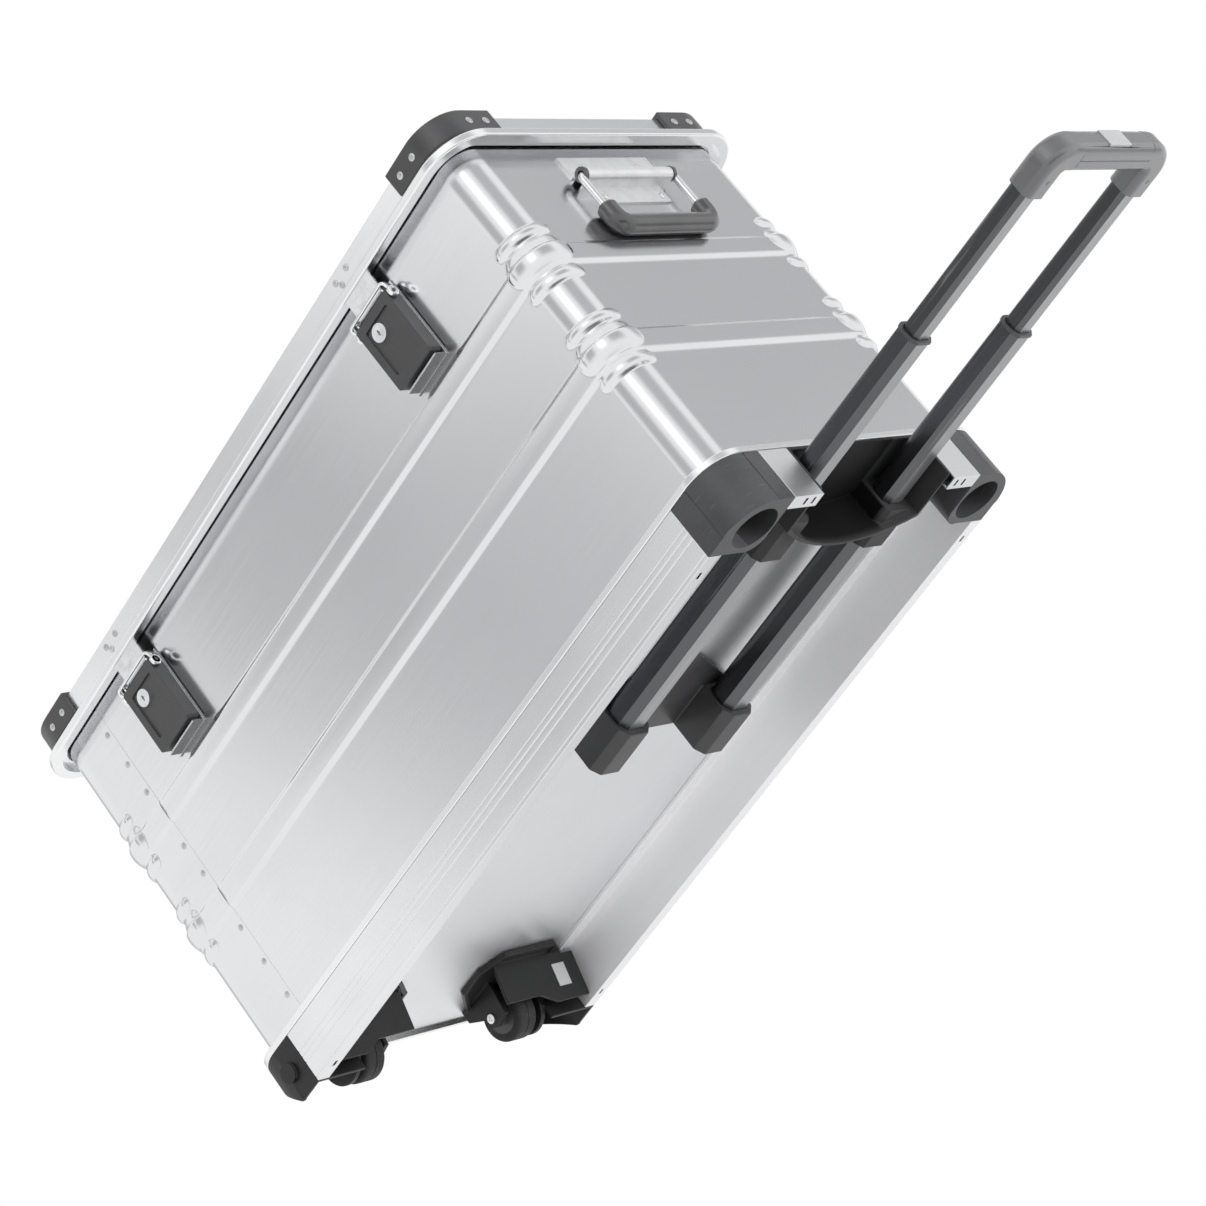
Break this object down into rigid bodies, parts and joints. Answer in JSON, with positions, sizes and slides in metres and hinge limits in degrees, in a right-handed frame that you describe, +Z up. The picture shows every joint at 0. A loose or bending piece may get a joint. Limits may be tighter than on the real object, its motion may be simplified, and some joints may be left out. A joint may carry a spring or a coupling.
{
  "type": "wheeled aluminium case",
  "caption": "Ribbed aluminium box with hinged lid, draw latches, drop handles, corner wheels and a telescopic pull handle.",
  "frame": {"origin": "on the ground under the middle of the whole object, pull handle drawn out", "axes": "+X from the wheels towards the pull handle, latches face -Y, +Z up towards the lid"},
  "size_m": [1.239, 0.418, 0.495],
  "materials": {
    "aluminium_sheet": "brushed",
    "aluminium_profile": "satin",
    "bright_steel": "bright",
    "dark_tube": "anodised",
    "black_plastic": "fine texture",
    "grey_plastic": "satin",
    "black_rubber": "matt",
    "tyre_rubber": "matt"
  },
  "bodies": {
    "case": {"back_rail": "aluminium_profile", "base_band": "aluminium_profile", "body_wrap": "aluminium_sheet", "carry_plate_handle_end": "bright_steel", "carry_plate_wheel_end": "bright_steel", "carry_rivets": "bright_steel", "corner_foot_back": "black_plastic", "corner_foot_front": "black_plastic", "fixed_tube_back": "dark_tube", "fixed_tube_front": "dark_tube", "floor_panel": "aluminium_sheet", "front_rail": "aluminium_profile", "handle_cup": "black_plastic", "handle_end_rails": "aluminium_profile", "hinge_body_leaves": "bright_steel", "hinge_pins": "bright_steel", "housing_inserts": "grey_plastic", "latch_pins": "bright_steel", "latch_plate_handle_side": "bright_steel", "latch_plate_wheel_side": "bright_steel", "mouth_frame": "aluminium_profile", "seam_rivets": "bright_steel", "tube_bracket": "black_plastic", "wheel_axles": "bright_steel", "wheel_end_sheet": "aluminium_sheet", "wheel_housing_back": "black_plastic", "wheel_housing_front": "black_plastic"},
    "wheel_front": {"wheel_hub_front": "black_plastic", "wheel_tyre_front": "tyre_rubber"},
    "wheel_back": {"wheel_hub_back": "black_plastic", "wheel_tyre_back": "tyre_rubber"},
    "middle_stage": {"middle_tube_front": "dark_tube", "middle_tube_back": "dark_tube", "middle_collars": "black_plastic"},
    "inner_stage": {"inner_tube_front": "dark_tube", "inner_tube_back": "dark_tube", "grip_elbow_front": "black_plastic", "grip_elbow_back": "black_plastic", "grip_bar_outer": "black_plastic", "grip_bar_inner": "black_plastic"},
    "release": {"release_button": "grey_plastic", "release_wire": "bright_steel"},
    "lid": {"lid_panel": "aluminium_sheet", "lid_frame": "aluminium_profile", "lid_seal": "black_rubber", "lid_corners": "black_plastic", "lid_rivets": "bright_steel", "strike_plates": "bright_steel", "hinge_lid_leaves": "bright_steel"},
    "lever_handle_side": {"latch_lever_handle_side": "black_plastic"},
    "bail_handle_side": {"latch_bail_handle_side": "bright_steel"},
    "lock_handle_side": {"lock_cylinder_handle_side": "bright_steel"},
    "lever_wheel_side": {"latch_lever_wheel_side": "black_plastic"},
    "bail_wheel_side": {"latch_bail_wheel_side": "bright_steel"},
    "lock_wheel_side": {"lock_cylinder_wheel_side": "bright_steel"},
    "carry_handle_end": {"carry_bail_handle_end": "bright_steel", "carry_grip_handle_end": "black_plastic"},
    "carry_wheel_end": {"carry_bail_wheel_end": "bright_steel", "carry_grip_wheel_end": "black_plastic"}
  },
  "joints": [
    {"name": "wheel_front_spin", "type": "hinge", "parent": "case", "child": "wheel_front", "pos_m": [-0.564, -0.11, 0.0285], "axis": [0, 1, 0], "continuous": true},
    {"name": "wheel_back_spin", "type": "hinge", "parent": "case", "child": "wheel_back", "pos_m": [-0.564, 0.11, 0.0285], "axis": [0, 1, 0], "continuous": true},
    {"name": "middle_stage_slide", "type": "slide", "parent": "case", "child": "middle_stage", "axis": [1, 0, 0], "range_m": [-0.205, 0]},
    {"name": "inner_stage_slide", "type": "slide", "parent": "middle_stage", "child": "inner_stage", "axis": [1, 0, 0], "range_m": [-0.162, 0]},
    {"name": "release_button_press", "type": "slide", "parent": "inner_stage", "child": "release", "axis": [-1, 0, 0], "range_m": [0, 0.003], "stiffness_N_per_m": 400},
    {"name": "lid_hinge", "type": "hinge", "parent": "case", "child": "lid", "pos_m": [-0.184, 0.2025, 0.445], "axis": [-1, 0, 0], "range_deg": [0, 100]},
    {"name": "lever_handle_side_swing", "type": "hinge", "parent": "case", "child": "lever_handle_side", "pos_m": [0.062, -0.198, 0.429], "axis": [-1, 0, 0], "range_deg": [0, 100]},
    {"name": "bail_handle_side_swing", "type": "hinge", "parent": "lever_handle_side", "child": "bail_handle_side", "pos_m": [0.062, -0.2, 0.419], "axis": [-1, 0, 0], "range_deg": [-100, 0]},
    {"name": "lock_handle_side_turn", "type": "hinge", "parent": "lever_handle_side", "child": "lock_handle_side", "pos_m": [0.0565, -0.206, 0.402], "axis": [0, 1, 0], "range_deg": [0, 90]},
    {"name": "lever_wheel_side_swing", "type": "hinge", "parent": "case", "child": "lever_wheel_side", "pos_m": [-0.43, -0.198, 0.429], "axis": [-1, 0, 0], "range_deg": [0, 100]},
    {"name": "bail_wheel_side_swing", "type": "hinge", "parent": "lever_wheel_side", "child": "bail_wheel_side", "pos_m": [-0.43, -0.2, 0.419], "axis": [-1, 0, 0], "range_deg": [-100, 0]},
    {"name": "lock_wheel_side_turn", "type": "hinge", "parent": "lever_wheel_side", "child": "lock_wheel_side", "pos_m": [-0.4355, -0.206, 0.402], "axis": [0, 1, 0], "range_deg": [0, 90]},
    {"name": "carry_handle_end_swing", "type": "hinge", "parent": "case", "child": "carry_handle_end", "pos_m": [0.241, 0, 0.408], "axis": [0, -1, 0], "range_deg": [0, 95]},
    {"name": "carry_wheel_end_swing", "type": "hinge", "parent": "case", "child": "carry_wheel_end", "pos_m": [-0.609, 0, 0.408], "axis": [0, 1, 0], "range_deg": [0, 95]}
  ],
  "couplings": [
    {"joint": "bail_handle_side_swing", "follows": "lever_handle_side_swing", "ratio": -1},
    {"joint": "bail_wheel_side_swing", "follows": "lever_wheel_side_swing", "ratio": -1}
  ]
}
